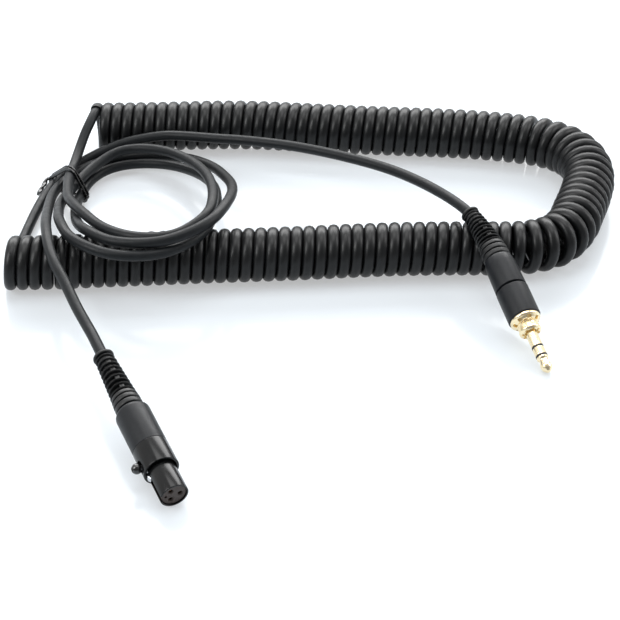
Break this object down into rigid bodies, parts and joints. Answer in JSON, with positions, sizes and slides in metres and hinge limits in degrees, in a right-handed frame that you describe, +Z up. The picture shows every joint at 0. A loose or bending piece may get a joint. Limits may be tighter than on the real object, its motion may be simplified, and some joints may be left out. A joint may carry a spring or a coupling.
{
  "type": "headphone cable",
  "caption": "Curly headphone cable laid in a hairpin, with plain leads, tied loops, a small stereo jack plug and a small XLR socket with a sprung latch.",
  "frame": {"origin": "middle of the object's box, on the surface that it lies on", "axes": "+Z up, normal to that surface; +X to the right and +Y away as seen from the front, where the plugs are; the hairpin opens towards -X"},
  "size_m": [0.1936, 0.1988, 0.0254],
  "materials": {
    "curly_jacket": "satin",
    "lead_jacket": "satin",
    "boot_rubber": "matte",
    "housing_black": "fine textured matte",
    "sleeve_black": "satin gloss",
    "gold": "polished gold plate",
    "insulator_black": "matte",
    "insert_brown": "satin",
    "button_black": "gloss",
    "latch_steel": "bright",
    "tinned": "tinned",
    "conductor_insulation": "satin",
    "tie_black": "gloss"
  },
  "bodies": {
    "cable": {"jack_boot": "boot_rubber", "jack_rear_housing": "housing_black", "jack_front_housing": "housing_black", "jack_collar": "gold", "jack_sleeve_contact": "gold", "jack_ring_contact": "gold", "jack_tip_contact": "gold", "jack_sleeve_insulator": "insulator_black", "jack_tip_insulator": "insulator_black", "jack_core_insulator": "insulator_black", "jack_solder_lugs": "tinned", "jack_cable_clamp": "tinned", "jack_conductors": "conductor_insulation", "jack_lead": "lead_jacket", "curly_cord": "curly_jacket", "coil_lead": "lead_jacket", "tied_loops": "lead_jacket", "xlr_lead": "lead_jacket", "xlr_boot": "boot_rubber", "xlr_rear_housing": "housing_black", "xlr_front_sleeve": "sleeve_black", "xlr_nose_shell": "sleeve_black", "xlr_insert": "insert_brown", "xlr_contact_1": "gold", "xlr_contact_2": "gold", "xlr_contact_3": "gold", "xlr_cable_clamp": "tinned", "xlr_conductors": "conductor_insulation", "tie_band": "tie_black", "tie_twist": "tie_black"},
    "latch": {"latch_lever": "latch_steel", "latch_button": "button_black"}
  },
  "joints": [
    {"name": "latch_press", "type": "hinge", "parent": "cable", "child": "latch", "pos_m": [-0.04832, -0.0831, 0.00696], "axis": [0.0734, -0.1574, 0.9848], "range_deg": [0, 5.5], "stiffness_Nm_per_rad": 0.3, "springref_deg": -1.15}
  ]
}
